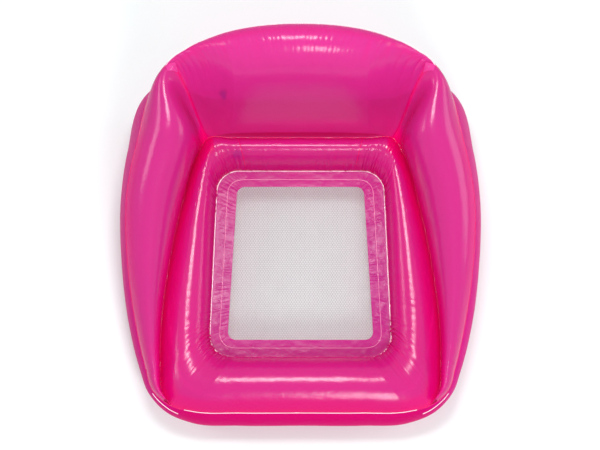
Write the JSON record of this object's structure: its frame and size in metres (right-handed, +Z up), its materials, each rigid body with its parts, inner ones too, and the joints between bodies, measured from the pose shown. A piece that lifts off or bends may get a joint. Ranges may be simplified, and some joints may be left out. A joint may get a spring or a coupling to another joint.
{
  "type": "inflatable lounge chair",
  "caption": "Inflatable pool lounge of clear pink film: an air ring seat with an open mesh panel, tapering arm rolls and a leaning backrest cushion, with push-in valves.",
  "frame": {"origin": "middle of the chair's outline in plan, on the ground it rests on", "axes": "+Z up, +Y towards the backrest, +X to the left of a person who sits in it"},
  "size_m": [0.997, 1.0058, 0.5502],
  "materials": {
    "seat_top_sheet": "thin clear tinted vinyl film, glossy",
    "outer_wall": "thin clear tinted vinyl film, glossy",
    "bottom_sheet": "thin clear tinted vinyl film, glossy",
    "arm_cover_left": "thin clear tinted vinyl film, glossy",
    "arm_cover_right": "thin clear tinted vinyl film, glossy",
    "arm_web_left": "thin clear tinted vinyl film, glossy",
    "arm_web_right": "thin clear tinted vinyl film, glossy",
    "backrest_front_sheet": "thin clear tinted vinyl film, glossy",
    "backrest_rear_sheet": "thin clear tinted vinyl film, glossy",
    "backrest_floor": "thin clear tinted vinyl film, glossy",
    "backrest_end_left": "thin clear tinted vinyl film, glossy",
    "backrest_end_right": "thin clear tinted vinyl film, glossy",
    "corner_patch_left": "thin clear tinted vinyl film, glossy",
    "corner_patch_right": "thin clear tinted vinyl film, glossy",
    "mesh_seat": "white open knitted mesh",
    "seat_valve_flange": "soft clear vinyl",
    "seat_valve_stem": "soft clear vinyl",
    "seat_valve_plug": "soft translucent vinyl, violet",
    "seat_valve_check_flap": "soft translucent vinyl, violet",
    "back_valve_flange": "soft clear vinyl",
    "back_valve_stem": "soft clear vinyl",
    "back_valve_plug": "soft translucent vinyl, violet",
    "back_valve_check_flap": "soft translucent vinyl, violet"
  },
  "bodies": {
    "film": {"seat_top_sheet": "seat_top_sheet", "outer_wall": "outer_wall", "bottom_sheet": "bottom_sheet", "arm_cover_left": "arm_cover_left", "arm_cover_right": "arm_cover_right", "arm_web_left": "arm_web_left", "arm_web_right": "arm_web_right", "backrest_front_sheet": "backrest_front_sheet", "backrest_rear_sheet": "backrest_rear_sheet", "backrest_floor": "backrest_floor", "backrest_end_left": "backrest_end_left", "backrest_end_right": "backrest_end_right", "corner_patch_left": "corner_patch_left", "corner_patch_right": "corner_patch_right", "mesh_seat": "mesh_seat", "seat_valve_flange": "seat_valve_flange", "back_valve_flange": "back_valve_flange"},
    "seat_valve_stem": {"seat_valve_stem": "seat_valve_stem"},
    "seat_valve_plug": {"seat_valve_plug": "seat_valve_plug"},
    "seat_valve_flap": {"seat_valve_check_flap": "seat_valve_check_flap"},
    "back_valve_stem": {"back_valve_stem": "back_valve_stem"},
    "back_valve_plug": {"back_valve_plug": "back_valve_plug"},
    "back_valve_flap": {"back_valve_check_flap": "back_valve_check_flap"}
  },
  "joints": [
    {"name": "seat_valve_push", "type": "slide", "parent": "film", "child": "seat_valve_stem", "axis": [0.0023, -0.1698, -0.9855], "range_m": [0, 0.012]},
    {"name": "seat_valve_plug_strap", "type": "hinge", "parent": "seat_valve_stem", "child": "seat_valve_plug", "pos_m": [-0.18909, 0.27649, 0.01145], "axis": [-0.011, 0.9854, -0.1698], "range_deg": [0, 150]},
    {"name": "seat_valve_flap_swing", "type": "hinge", "parent": "seat_valve_stem", "child": "seat_valve_flap", "pos_m": [-0.18525, 0.28048, 0.03431], "axis": [0.011, -0.9854, 0.1698], "range_deg": [0, 60]},
    {"name": "back_valve_push", "type": "slide", "parent": "film", "child": "back_valve_stem", "axis": [-0.1484, 0.8844, -0.4425], "range_m": [0, 0.012]},
    {"name": "back_valve_plug_strap", "type": "hinge", "parent": "back_valve_stem", "child": "back_valve_plug", "pos_m": [-0.22112, 0.39598, 0.23378], "axis": [-0.0427, 0.4413, 0.8963], "range_deg": [0, 150]},
    {"name": "back_valve_flap_swing", "type": "hinge", "parent": "back_valve_stem", "child": "back_valve_flap", "pos_m": [-0.21382, 0.37606, 0.24394], "axis": [0.0427, -0.4413, -0.8963], "range_deg": [0, 60]}
  ]
}
